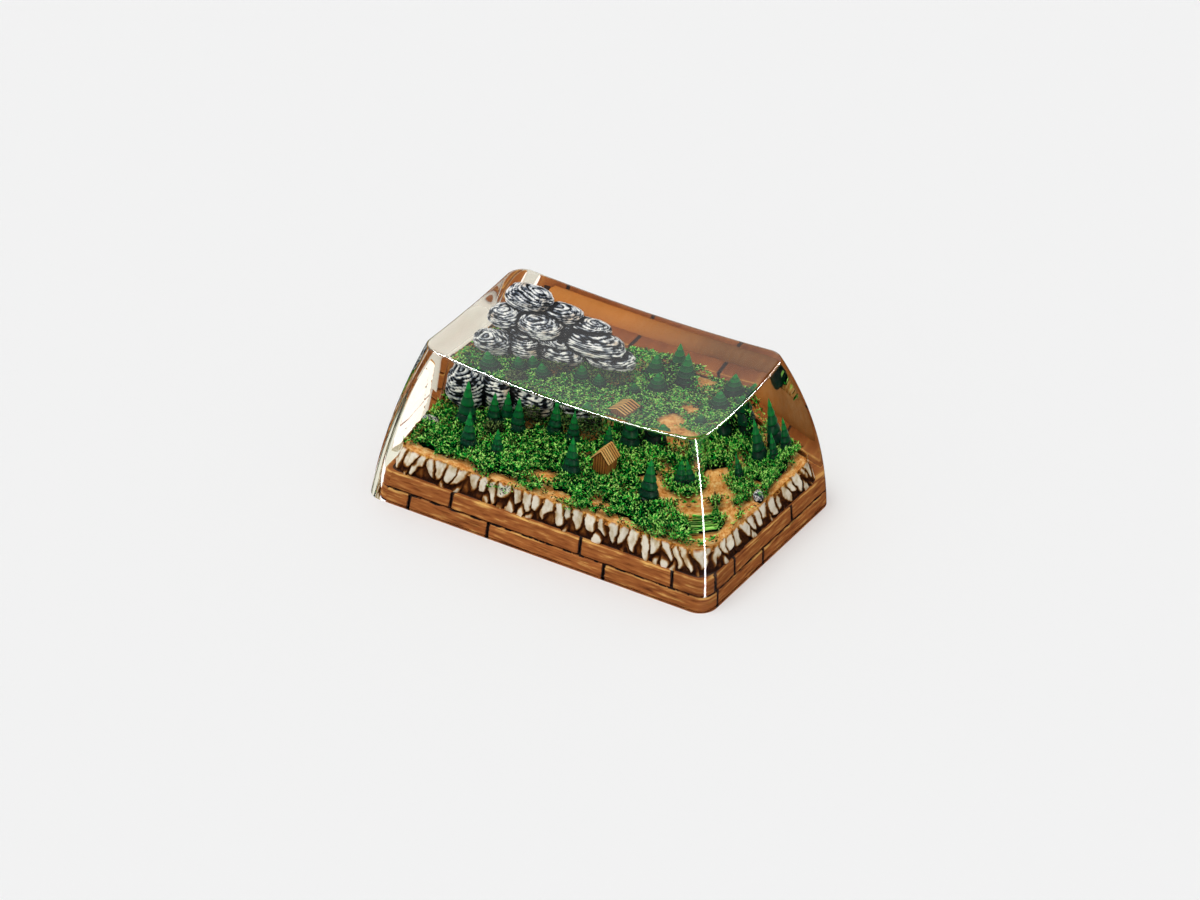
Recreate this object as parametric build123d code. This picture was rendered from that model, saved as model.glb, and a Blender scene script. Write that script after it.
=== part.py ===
from build123d import *
import math
import os
import random

# Artisan keycap: a small painted landscape on a plank base, cast in clear resin.
# Millimetres. X runs along the long side, -Y is the front, Z is up, the bottom rim lies at Z = 0.

# Clear body
cap_width = 30.0
cap_depth = 18.2
cap_height = 12.85          # at the two back corners of the dished top
side_lean = 3.2             # how far each end face comes in from rim to top
front_lean = 3.75
back_lean = 1.9
side_bow = 0.5              # how far each face bulges at half height
front_bow = 0.25
back_bow = 0.8
corner_radius = 1.4         # the four upright edges
top_edge_break = 0.2        # chamfer round the dish
dish_sag_along = 0.6        # hollow of the dished top along X
dish_sag_across = 0.4       # and along Y
dish_tilt = 2.6             # degrees, the back edge stands higher

# Plank base, a casting with two grooved courses, an open underside and a socket post
plank_skins = (1.2, 0.4, 0.3, 0.3)      # clear resin outside the planks: left, right, front, back
plank_foot = 0.1            # clear resin under the planks
plank_corner = 0.6          # cut corners of the planks' outline
course_levels = ((0.1, 1.05), (1.2, 2.35))      # foot and head of the lower and the upper course
groove_depth = 0.2
joint_width = 0.16
front_joints = ((-11.1, -4.1, 6.0), (-7.5, 3.8, 11.7))      # lower course, upper course
back_joints = ((-6.0, 4.1, 11.1), (-11.0, -2.9, 5.3))
end_joints = ((-7.2, -0.8), (-7.2, -4.6, 3.5))
core_margin = 1.25          # from the ground's rim in to the raised core
ground_cover = 0.3          # ground over the raised core
core_wall = 0.9
ceiling_height = 3.2        # depth of the open underside

# Socket post for a cross-shaped switch stem
post_diameter = 5.6
post_recess = 0.1           # the post ends this far above the rim
cross_length = 4.1
cross_width_x = 1.31        # arm that runs along Y is this wide
cross_width_y = 1.17        # arm that runs along X is this wide
cross_depth = 3.5

# Cliff and ground
foot_ledges = (0.2, 0.2, 0.2, 1.1)      # cliff's foot behind the plank faces: left, right, front, back
rim_ledges = (0.35, 0.5, 0.5, 1.4)      # and its upper rim
ground_height = 4.1
stone_pitch = 1.2           # mean spacing of the cliff's upright stones
gap_top = 0.12              # a gap between stones is a wedge, narrow above
gap_foot = 0.5
gap_depth = 0.35
sand_rim = 0.25             # solid rim of sand above the gaps
gap_lean = 0.22             # how far a gap's top may lean to one side
gap_sway = 0.2              # how far a gap may stand off its even place, as a share of the pitch
gap_spread = 0.35           # how much the gaps differ in width
gap_seed = 7

# Plan that the places below were drawn on: the ground's extent in X and in Y
plan_left, plan_right = -12.86, 13.51
plan_front, plan_back = -7.32, 7.49

# Boulder pile: centre x, y, z and half sizes of each boulder
boulders = (
    ((-10.0, 6.0, 9.8), (1.9, 1.35, 1.25)),
    ((-7.1, 6.2, 8.7), (1.6, 1.15, 1.2)),
    ((-7.9, 4.4, 8.2), (1.8, 1.4, 1.2)),
    ((-10.9, 4.2, 7.9), (1.35, 1.35, 1.25)),
    ((-4.7, 6.2, 7.9), (1.75, 1.1, 1.15)),
    ((-3.9, 5.2, 7.1), (2.9, 1.5, 1.35)),
    ((-10.6, 1.7, 5.9), (1.65, 1.25, 1.5)),
    ((-8.4, 2.6, 5.8), (1.5, 1.2, 1.25)),
    ((-5.8, 3.5, 5.7), (2.0, 1.25, 1.2)),
    ((-1.9, 4.9, 5.8), (2.1, 1.35, 1.2)),
)
boulder_sides = 8
boulder_rings = ((-1.0, 0.6), (-0.3, 1.0), (0.45, 0.86), (1.0, 0.4))    # share of height, share of girth
rubble_box = (8.0, 4.0)     # the packed rubble that the boulders lie on
rubble_centre = (-7.6, 4.7)
rubble_height = 3.4
boulder_turn = 37.0         # degrees from one boulder to the next
side_stones = ((-12.0, -2.1), (12.4, 0.6))
side_stone_size = (0.75, 0.5, 0.6)
side_stone_turn = 25.0

# Cabin
cabin_place = (2.65, -0.6)
cabin_turn = -6.0           # degrees
cabin_width = 1.3
cabin_length = 1.75
cabin_wall = 1.45
roof_pitch = 46.0
roof_thickness = 0.2
roof_overhang = 0.17

# Pines: place on the ground and height of the tip above it
pines = (
    (-9.5, -0.8, 3.9), (-7.9, -3.9, 3.2), (-7.6, 0.5, 2.9), (-6.7, 1.3, 2.9), (-5.5, -3.8, 2.5),
    (-5.5, 0.7, 3.1), (-2.8, 2.1, 3.0), (-1.2, 2.0, 2.7), (0.6, -2.6, 3.3), (1.6, 2.6, 2.2),
    (7.2, -2.3, 3.6), (8.4, 1.1, 2.3), (8.4, 4.1, 3.6), (8.3, 6.3, 4.1), (9.8, 5.0, 2.5),
    (9.9, 6.6, 2.9), (3.1, 6.7, 6.0), (4.4, 5.8, 6.0), (1.7, 5.6, 4.4), (3.0, 3.9, 3.6),
)
pine_sides = 5
pine_tiers = 4
pine_turn = 40.0            # degrees from one pine to the next
pine_slimness = 0.2         # radius of the lowest tier as a share of the height
pine_girth = 0.72           # and the widest that this radius gets
tier_top = 0.5              # a tier's upper girth as a share of its lower one
tier_taper = 0.78           # how much slimmer the tiers get from foot to tip

# Foliage mats: centre, half sizes and thickness
mats = (
    (-10.2, -4.0, 2.1, 2.5, 0.8), (-5.3, -4.1, 2.0, 2.4, 0.8), (-1.9, -1.6, 1.9, 1.9, 0.8),
    (1.4, -4.4, 1.7, 1.9, 0.8), (6.7, -4.1, 2.9, 2.2, 0.8), (11.1, -4.3, 1.4, 1.3, 0.7),
    (5.2, 0.5, 1.5, 1.9, 0.8), (-2.9, 1.6, 2.2, 1.4, 0.7), (-7.7, -0.1, 2.3, 1.2, 0.7),
    (1.5, 2.9, 1.7, 1.3, 0.7), (3.2, 5.9, 3.0, 1.4, 2.2), (9.9, 4.0, 2.4, 2.3, 0.8),
)
mat_points = 9
mat_top = 0.78              # a mat's upper outline as a share of its lower one
mat_ripple = 0.13           # how ragged the outline is
mat_turn = 1.3              # radians from one mat's ragged edge to the next

plank_height = course_levels[1][1]
core_top = ground_height - ground_cover


def leaning_profile(low, high, lean_low, lean_high, bow_low, bow_high):
    """Upright section: straight foot and top, sides that lean in and bulge."""
    foot_a, foot_b = (low, 0), (high, 0)
    top_a, top_b = (low + lean_low, cap_height), (high - lean_high, cap_height)
    middle_a = ((foot_a[0] + top_a[0]) / 2 - bow_low, cap_height / 2)
    middle_b = ((foot_b[0] + top_b[0]) / 2 + bow_high, cap_height / 2)
    return make_face([
        Line(foot_a, foot_b),
        ThreePointArc(foot_b, middle_b, top_b),
        Line(top_b, top_a),
        ThreePointArc(top_a, middle_a, foot_a),
    ])


def leaning_body(end_inset, face_inset, radius):
    """The cap's blank shape, set in from the outer faces by the two insets."""
    half_x = cap_width / 2 - end_inset
    half_y = cap_depth / 2 - face_inset
    along = leaning_profile(-half_x, half_x, side_lean, side_lean, side_bow, side_bow)
    across = leaning_profile(-half_y, half_y, front_lean, back_lean, front_bow, back_bow)
    body = extrude(Plane.XZ * along, cap_depth, both=True) & extrude(Plane.YZ * across, cap_width, both=True)
    upright = body.edges().filter_by(lambda edge: edge.bounding_box().size.Z > cap_height / 2)
    return fillet(upright, radius)


def layer(body, low, high):
    """The part of a body between two heights."""
    slab = Pos(0, 0, (low + high) / 2) * Box(2 * cap_width, 2 * cap_depth, high - low)
    return body & slab


def dish_cutter():
    """A barrel whose underside is the dished top, hollow along X and along Y."""
    half_along = cap_width / 2 - side_lean
    half_across = (cap_depth - front_lean - back_lean) / 2
    centre_y = (front_lean - back_lean) / 2
    tilt_rise = half_across * math.tan(math.radians(dish_tilt))
    lowest = cap_height - dish_sag_along - dish_sag_across - tilt_rise
    barrel_radius = half_across ** 2 / (2 * dish_sag_across)
    reach = cap_width / 2
    rise = dish_sag_along * (reach / half_along) ** 2
    section = make_face([
        ThreePointArc((-reach, rise), (0, 0), (reach, rise)),
        Line((reach, rise), (reach, barrel_radius)),
        Line((reach, barrel_radius), (-reach, barrel_radius)),
        Line((-reach, barrel_radius), (-reach, rise)),
    ])
    barrel = revolve(Plane.XZ * section, Axis((0, 0, barrel_radius), (1, 0, 0)))
    return Pos(0, centre_y, lowest) * Rot(dish_tilt, 0, 0) * barrel


def clear_blank():
    """Outer form of the clear casting."""
    body = leaning_body(0, 0, corner_radius) - dish_cutter()
    dish = body.faces().filter_by(GeomType.REVOLUTION)[0]
    return chamfer(dish.edges(), top_edge_break)


def wall_limits(height):
    """Left, right, front and back of the clear body's faces at a height."""
    share = height / cap_height
    swell = 4 * share * (1 - share)
    half_x = cap_width / 2 - side_lean * share + side_bow * swell
    front = cap_depth / 2 - front_lean * share + front_bow * swell
    back = cap_depth / 2 - back_lean * share + back_bow * swell
    return -half_x, half_x, -front, back


def inset_limits(height, *insets):
    """The same, set in by insets that each give left, right, front and back."""
    left, right, front, back = wall_limits(height)
    by_left, by_right, by_front, by_back = [sum(values) for values in zip(*insets)]
    return left + by_left, right - by_right, front + by_front, back - by_back


def cut_ring(limits, height, cut):
    """Outline at a height, a rectangle with its corners cut off."""
    left, right, front, back = limits
    return [
        (right, front + cut, height), (right, back - cut, height),
        (right - cut, back, height), (left + cut, back, height),
        (left, back - cut, height), (left, front + cut, height),
        (left + cut, front, height), (right - cut, front, height)]


def faceted(rings):
    """A closed solid of flat faces through rings of points, given from the foot up."""
    faces = [Face(Wire.make_polygon(rings[0])), Face(Wire.make_polygon(rings[-1]))]
    for low, high in zip(rings, rings[1:]):
        for k in range(len(low)):
            faces.append(Face(Wire.make_polygon([low[k - 1], low[k], high[k], high[k - 1]])))
    return Solid(Shell(faces))


def plank_body(set_back):
    """Block with the outline of the planks, its faces set back by some depth."""
    backs = (set_back,) * 4
    return faceted([
        cut_ring(inset_limits(height, plank_skins, backs), height, plank_corner)
        for height in (plank_foot, plank_height)])


def course(body, index):
    """One course of planks: a layer of the body, parted by upright joints."""
    low, high = course_levels[index]
    middle, tall = (low + high) / 2, 2 * (high - low)
    cuts = []
    for x in front_joints[index]:
        cuts.append(Pos(x, -cap_depth / 2, middle) * Box(joint_width, cap_depth / 2, tall))
    for x in back_joints[index]:
        cuts.append(Pos(x, cap_depth / 2, middle) * Box(joint_width, cap_depth / 2, tall))
    for y in end_joints[index]:
        cuts.append(Pos(cap_width / 2, y, middle) * Box(cap_width / 4, joint_width, tall))
        cuts.append(Pos(-cap_width / 2, -y, middle) * Box(cap_width / 4, joint_width, tall))
    return layer(body, low, high) - cuts


def block(half_x, front, back, low, high):
    """An upright block between two heights, centred on X."""
    centre = Pos(0, (front + back) / 2, (low + high) / 2)
    return centre * Box(2 * half_x, back - front, high - low)


left_rim, right_rim, front_rim, back_rim = inset_limits(ground_height, plank_skins, rim_ledges)
core_half_x = min(-left_rim, right_rim) - core_margin
core_front = front_rim + core_margin
core_back = back_rim - core_margin
stretch_x = (right_rim - left_rim) / (plan_right - plan_left)
stretch_y = (back_rim - front_rim) / (plan_back - plan_front)
girth_scale = min(stretch_x, stretch_y, 1)


def on_ground(x, y):
    """A place on the plan, moved with the ground."""
    return left_rim + (x - plan_left) * stretch_x, front_rim + (y - plan_front) * stretch_y


def base_blank():
    """Planks and raised core, before the underside is opened."""
    planks = plank_body(0)
    blank = plank_body(groove_depth) + [course(planks, 0), course(planks, 1)]
    return blank + block(core_half_x, core_front, core_back, 0, core_top)


def socket_post():
    """Round post with a cross socket, hanging from the ceiling of the underside."""
    length = ceiling_height - post_recess
    return Pos(0, 0, post_recess + length / 2) * Cylinder(post_diameter / 2, length)


def cross_socket():
    """The cross-shaped hole for the switch stem."""
    arm_x = Box(cross_length, cross_width_y, cross_depth)
    arm_y = Box(cross_width_x, cross_length, cross_depth)
    return Pos(0, 0, post_recess + cross_depth / 2) * (arm_x + arm_y)


def plank_base(blank):
    """The base casting with its open underside and post."""
    hollow = block(core_half_x - core_wall, core_front + core_wall, core_back - core_wall, 0, ceiling_height)
    return blank - hollow + socket_post() - cross_socket()


def stone_gaps(length, foot_place):
    """Wedge gaps between cliff stones along one face, as prisms that reach into it."""
    count = round(length / stone_pitch)
    dice = random.Random(gap_seed)
    gaps = []
    for i in range(1, count):
        x = -length / 2 + length * i / count + stone_pitch * gap_sway * dice.uniform(-1, 1)
        lean = gap_lean * dice.uniform(-1, 1)
        top = ground_height - sand_rim * dice.uniform(1, 2)
        half_foot = gap_foot / 2 * (1 + gap_spread * dice.uniform(-1, 1))
        wedge = make_face(Polyline(
            (x - half_foot, plank_height), (x + half_foot, plank_height),
            (x + lean + gap_top / 2, top), (x + lean - gap_top / 2, top), close=True))
        gaps.append(foot_place * extrude(Plane.XZ * wedge, -cap_depth / 4))
    return gaps


def round_ring(centre, half_x, half_y, sides, turn):
    """Points of a many-sided ring about a centre, the turn in degrees."""
    angles = [math.radians(turn + 360 * k / sides) for k in range(sides)]
    return [(centre[0] + half_x * math.cos(a), centre[1] + half_y * math.sin(a), centre[2]) for a in angles]


def cliff_terrain(core):
    """Cliff of upright stones, plain at the back, under a ground of sand over the raised core."""
    foot = cut_ring(inset_limits(plank_height, plank_skins, foot_ledges), plank_height, corner_radius)
    rim = cut_ring((left_rim, right_rim, front_rim, back_rim), ground_height, corner_radius)
    reach = cap_depth / 4 - gap_depth
    long_side = right_rim - left_rim - 2 * corner_radius
    short_side = back_rim - front_rim - 2 * corner_radius
    middle_x, middle_y = (left_rim + right_rim) / 2, (front_rim + back_rim) / 2
    gaps = stone_gaps(long_side, Pos(middle_x, front_rim - reach, 0))
    gaps += stone_gaps(short_side, Pos(right_rim + reach, middle_y, 0) * Rot(0, 0, 90))
    gaps += stone_gaps(short_side, Pos(left_rim - reach, middle_y, 0) * Rot(0, 0, -90))
    return faceted([foot, rim]) - gaps - core


def rock(centre, half_sizes, turn):
    """A rounded boulder of flat facets."""
    x, y = on_ground(*centre[:2])
    half_x, half_y, half_z = half_sizes
    return faceted([
        round_ring((x, y, centre[2] + up * half_z), half_x * girth * girth_scale, half_y * girth * girth_scale,
                   boulder_sides, turn)
        for up, girth in boulder_rings])


def above_ground():
    """All the room over the ground."""
    return Pos(0, 0, ground_height + cap_height / 2) * Box(cap_width, cap_depth, cap_height)


def boulder_pile():
    """Boulders heaped on packed rubble, one sculpted piece standing on the ground."""
    width, depth = rubble_box[0] * stretch_x, rubble_box[1] * stretch_y
    rubble = Pos(*on_ground(*rubble_centre), ground_height + rubble_height / 2) * Box(width, depth, rubble_height)
    heap = rubble + [rock(centre, size, boulder_turn * i) for i, (centre, size) in enumerate(boulders)]
    return heap & above_ground()


def side_stone(place, turn):
    """A small stone lying on the ground by the cliff's edge."""
    return rock((*place, ground_height), side_stone_size, turn) & above_ground()


def cabin():
    """Cabin with plank walls and a gabled roof that overhangs on all sides."""
    half = cabin_width / 2
    rise = half * math.tan(math.radians(roof_pitch))
    walls = make_face(Polyline(
        (-half, 0), (half, 0), (half, cabin_wall), (0, cabin_wall + rise), (-half, cabin_wall), close=True))
    eave = half + roof_overhang
    drop = roof_overhang * math.tan(math.radians(roof_pitch))
    thick = roof_thickness / math.cos(math.radians(roof_pitch))
    roof = make_face(Polyline(
        (-eave, cabin_wall - drop), (0, cabin_wall + rise), (eave, cabin_wall - drop),
        (eave, cabin_wall - drop + thick), (0, cabin_wall + rise + thick),
        (-eave, cabin_wall - drop + thick), close=True))
    house = extrude(Plane.XZ * walls, cabin_length / 2, both=True)
    cover = extrude(Plane.XZ * roof, cabin_length / 2 + roof_overhang, both=True)
    return Pos(*on_ground(*cabin_place), ground_height) * Rot(0, 0, cabin_turn) * (house + cover)


def pine(x, y, height, turn):
    """Pine cast in one piece: tapering tiers, each wider at its foot than the tier below at its head."""
    x, y = on_ground(x, y)
    rings = []
    for i in range(pine_tiers):
        foot = girth_scale * min(pine_slimness * height, pine_girth)
        lower = foot * (1 - tier_taper * i / pine_tiers)
        for step, girth in ((0, lower), (1, tier_top * lower)):
            centre = (x, y, ground_height + height * (i + step) / pine_tiers)
            rings.append(round_ring(centre, girth, girth, pine_sides, turn))
    return faceted(rings)


def foliage_mat(x, y, half_x, half_y, thickness, turn):
    """A ragged mat of foliage, thinner towards its edge."""
    x, y = on_ground(x, y)
    rings = []
    for share, up in ((1, 0), (mat_top, thickness)):
        outline = []
        for k in range(mat_points):
            angle = 2 * math.pi * k / mat_points
            ragged = 1 + mat_ripple * (math.sin(3 * angle + turn) + math.sin(5 * angle + 2 * turn))
            reach = share * ragged
            reach_x = half_x * stretch_x * reach * math.cos(angle)
            reach_y = half_y * stretch_y * reach * math.sin(angle)
            outline.append((x + reach_x, y + reach_y, ground_height + up))
        rings.append(outline)
    return faceted(rings)


nodes = {}
blank = base_blank()
nodes["plank_base"] = plank_base(blank)
nodes["cliff_terrain"] = cliff_terrain(blank)
nodes["boulder_pile"] = boulder_pile()
nodes["cabin"] = cabin()
for i, name in enumerate(("left_stone", "right_stone")):
    nodes[name] = side_stone(side_stones[i], side_stone_turn * i)
for i, (x, y, height) in enumerate(pines):
    nodes[f"pine_{i + 1:02d}"] = pine(x, y, height, pine_turn * i)
standing = [solid for name, solid in nodes.items() if name not in ("plank_base", "cliff_terrain")]
for i, mat in enumerate(mats):
    solid = foliage_mat(*mat, mat_turn * i) - standing
    nodes[f"foliage_{i + 1:02d}"] = solid
    standing.append(solid)

embedded = [solid for name, solid in nodes.items() if name != "plank_base"]
nodes["resin_body"] = clear_blank() - blank - embedded

os.makedirs("parts", exist_ok=True)
for name, solid in nodes.items():
    export_step(solid, f"parts/{name}.step")
    print(f"{name}: {len(solid.solids())} solid, {solid.volume:.2f} mm3")
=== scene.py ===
import bpy
import math
import random
from mathutils import Matrix, Vector, noise


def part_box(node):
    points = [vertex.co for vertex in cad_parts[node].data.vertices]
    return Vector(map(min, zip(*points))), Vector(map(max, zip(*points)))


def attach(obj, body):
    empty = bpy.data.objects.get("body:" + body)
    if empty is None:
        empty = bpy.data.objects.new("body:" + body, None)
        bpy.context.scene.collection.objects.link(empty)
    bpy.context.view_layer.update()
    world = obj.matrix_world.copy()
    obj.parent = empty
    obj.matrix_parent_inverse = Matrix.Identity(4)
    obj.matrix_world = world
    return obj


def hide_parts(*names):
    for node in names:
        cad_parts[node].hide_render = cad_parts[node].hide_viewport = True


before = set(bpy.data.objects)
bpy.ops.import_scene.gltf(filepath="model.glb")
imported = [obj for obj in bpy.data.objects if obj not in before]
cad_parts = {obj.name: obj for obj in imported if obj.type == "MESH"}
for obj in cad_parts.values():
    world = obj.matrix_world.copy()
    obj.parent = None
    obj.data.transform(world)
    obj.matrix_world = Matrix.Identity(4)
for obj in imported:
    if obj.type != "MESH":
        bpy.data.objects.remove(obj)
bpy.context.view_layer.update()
print("frame loaded,", len(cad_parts), "nodes")

# Places and sizes are in millimetres, and become metres where a mesh is made.
mm = 0.001

# outer form of the cap, as the CAD has it
cap = {
    "width": 30.0,      # over the foot
    "depth": 18.2,
    "height": 12.85,    # at the two back corners of the dished top
    "sideLean": 3.2,
    "frontLean": 3.75,
    "backLean": 1.9,
    "sideBow": 0.5,
    "frontBow": 0.25,
    "backBow": 0.8,
    "corner": 1.4,      # radius of the four upright edges
    "sagAlong": 0.6,    # hollow of the top along x and along y
    "sagAcross": 0.4,
    "tilt": 2.6,        # degrees
    "skins": (1.2, 0.4, 0.3, 0.3),  # clear resin outside the planks: left, right, front, back
    "footLedges": (0.2, 0.2, 0.2, 1.1),  # cliff's foot behind the plank faces
    "rimLedges": (0.35, 0.5, 0.5, 1.4),  # and its upper rim
    "plankTop": 2.35,
    "ground": 4.1,
}
capWidth, capDepth = cap["width"], cap["depth"]
ground = cap["ground"]


def hexToLinear(code):
    channels = [int(code[i:i + 2], 16) / 255 for i in (1, 3, 5)]
    return tuple(c / 12.92 if c <= 0.04045 else ((c + 0.055) / 1.055) ** 2.4 for c in channels) + (1.0,)


def addNode(tree, kind, inputs=None, stops=None, **settings):
    # inputs: socket to value or to a socket that feeds it; stops: places and hex colours of a ramp
    node = tree.nodes.new("ShaderNode" + kind)
    for name, value in settings.items():
        setattr(node, name, value)
    for socket, value in (inputs or {}).items():
        if isinstance(value, bpy.types.NodeSocket):
            tree.links.new(value, node.inputs[socket])
        else:
            node.inputs[socket].default_value = value
    if stops:
        ramp = node.color_ramp
        while len(ramp.elements) < len(stops):
            ramp.elements.new(1.0)
        for element, (place, code) in zip(ramp.elements, stops):
            element.position = place
            element.color = hexToLinear(code)
    return node


def attribute(tree, name):
    # a value that is stored on the mesh
    return addNode(tree, "Attribute", attribute_name=name).outputs["Fac"]


def maths(tree, operation, *values, **settings):
    return addNode(tree, "Math", dict(enumerate(values)), operation=operation, **settings).outputs[0]


def blend(tree, factor, first, second, **settings):
    inputs = {"Factor": factor, "A": first, "B": second}
    return addNode(tree, "Mix", inputs, data_type="RGBA", **settings).outputs["Result"]


def ramp(tree, level, *stops):
    return addNode(tree, "ValToRGB", {"Fac": level}, stops=stops).outputs["Color"]


def speckle(tree, size, **inputs):
    # noise fixed to the object, with spots of a size in millimetres
    inputs["Vector"] = addNode(tree, "TexCoord").outputs["Object"]
    inputs["Scale"] = 1 / (size * mm)
    return addNode(tree, "TexNoise", inputs).outputs["Fac"]


def streaks(tree, vector, stretch, **inputs):
    # noise drawn out by another scale along each axis
    drawn = addNode(tree, "VectorMath", {0: vector, 1: stretch}, operation="MULTIPLY")
    return addNode(tree, "TexNoise", {"Vector": drawn.outputs[0], **inputs}).outputs["Fac"]


def remap(tree, value, low, high, toLow=0.0, toHigh=1.0):
    inputs = {"Value": value, "From Min": low, "From Max": high, "To Min": toLow, "To Max": toHigh}
    return addNode(tree, "MapRange", inputs).outputs[0]


def paint(tree, shader, colour):
    tree.links.new(colour, shader.inputs["Base Color"])


def roughen(tree, shader, height, strength, depth):
    # relief too fine for the mesh, depth in millimetres
    bump = addNode(tree, "Bump", {"Height": height, "Strength": strength, "Distance": depth * mm})
    tree.links.new(bump.outputs["Normal"], shader.inputs["Normal"])


def newMaterial(name, **values):
    material = bpy.data.materials.new(name)
    material.use_nodes = True
    tree = material.node_tree
    shader = tree.nodes["Principled BSDF"]
    for socket, value in values.items():
        shader.inputs[socket.replace("_", " ")].default_value = value
    return material, tree, shader


def addObject(name, data):
    made = bpy.data.objects.new(name, data)
    bpy.context.scene.collection.objects.link(made)
    return made


def addPiece(name, shape, material, replaced=(), sharpAngle=None):
    points, faces, values = shape    # values: numbers stored for each point
    mesh = bpy.data.meshes.new(name)
    mesh.from_pydata([(x * mm, y * mm, z * mm) for x, y, z in points], [], faces)
    for key, numbers in values.items():
        mesh.attributes.new(key, "FLOAT", "POINT").data.foreach_set("value", numbers)
    mesh.shade_smooth()
    if sharpAngle:
        mesh.set_sharp_from_angle(angle=math.radians(sharpAngle))
    mesh.materials.append(material)
    mesh.validate()
    piece = addObject(name, mesh)
    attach(piece, "root")
    if replaced:
        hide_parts(*replaced)
    return piece


def clamp(value, low=0.0, high=1.0):
    return max(low, min(high, value))


def smoothStep(low, high, value):
    share = clamp((value - low) / (high - low))
    return share * share * (3 - 2 * share)


def wobble(x, y, z, octaves=1):
    # soft noise between about -1 and 1
    total = 0.0
    for i in range(octaves):
        total += noise.noise(Vector((x, y, z)) * 2 ** i) / 2 ** i
    return total


def limits(z, *insets):
    # left, right, front and back of the cap's walls at a height, set in by insets of the same order
    share = z / cap["height"]
    swell = 4 * share * (1 - share)
    halfX = capWidth / 2 - cap["sideLean"] * share + cap["sideBow"] * swell
    front = capDepth / 2 - cap["frontLean"] * share + cap["frontBow"] * swell
    back = capDepth / 2 - cap["backLean"] * share + cap["backBow"] * swell
    left, right, nearer, further = [sum(values) for values in zip((0, 0, 0, 0), *insets)]
    return left - halfX, halfX - right, nearer - front, back - further


def ringSamples(longCount, shortCount, cornerCount):
    # stations round a rounded rectangle: side, whether on the corner after it, share of the way
    stations = []
    for side, count in enumerate((longCount, shortCount, longCount, shortCount)):
        stations += [(side, False, i / count) for i in range(count)]
        stations += [(side, True, i / cornerCount) for i in range(cornerCount)]
    return stations


rightSide, backSide, leftSide = 1, 2, 3    # sides of a ring, counted on from the front
rimEdges = limits(ground, cap["skins"], cap["rimLedges"])


def ringPlace(station, edges, radius):
    # x, y and outward direction of a station
    side, onCorner, share = station
    left, right = edges[0] + radius, edges[1] - radius
    low, high = edges[2] + radius, edges[3] - radius
    corner = ((right, low), (right, high), (left, high), (left, low))[side]
    angle = math.radians(90 * (side - 1 + (share if onCorner else 0)))
    outX, outY = math.cos(angle), math.sin(angle)
    if onCorner:
        return corner[0] + radius * outX, corner[1] + radius * outY, outX, outY
    start = ((left, low), (right, low), (right, high), (left, high))[side]
    x = start[0] + (corner[0] - start[0]) * share
    y = start[1] + (corner[1] - start[1]) * share
    return x + radius * outX, y + radius * outY, outX, outY


def ringFaces(rowCount, count):
    faces = []
    for row in range(rowCount - 1):
        for i in range(count):
            j = (i + 1) % count
            faces.append((row * count + i, row * count + j, (row + 1) * count + j, (row + 1) * count + i))
    return faces


def fan(first, count, tip):
    # triangles from a ring to one point
    return [(first + i, first + (i + 1) % count, tip) for i in range(count)]


# Clear resin
resin = {
    "topEdge": 0.3,     # rounding between walls and dished top
    "bottom": 0.02,     # just clear of the table
    "stations": (48, 28, 14),  # along a long side, a short side and a corner
    "wallRows": 40,
    "edgeRows": 9,
    "topRows": 24,
    "liner": (-11.1, 11.1, -5.6, 5.8),  # inner skin, inside the base's walls
    "linerCorner": 0.5,
    "linerTop": 3.5,    # and its ceiling
}


def dishHeight(x, y):
    halfAlong = capWidth / 2 - cap["sideLean"]
    halfAcross = (capDepth - cap["frontLean"] - cap["backLean"]) / 2
    slope = math.tan(math.radians(cap["tilt"]))
    lowest = cap["height"] - cap["sagAlong"] - cap["sagAcross"] - halfAcross * slope
    across = y - (cap["frontLean"] - cap["backLean"]) / 2
    hollow = cap["sagAlong"] * (x / halfAlong) ** 2 + cap["sagAcross"] * (across / halfAcross) ** 2
    return lowest + hollow + across * slope


def rimHeight(station):
    # where the wall meets the dish, by stepping to it
    z = cap["height"]
    for i in range(12):
        x, y, outX, outY = ringPlace(station, limits(z), cap["corner"])
        z = dishHeight(x, y)
    return z


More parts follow.
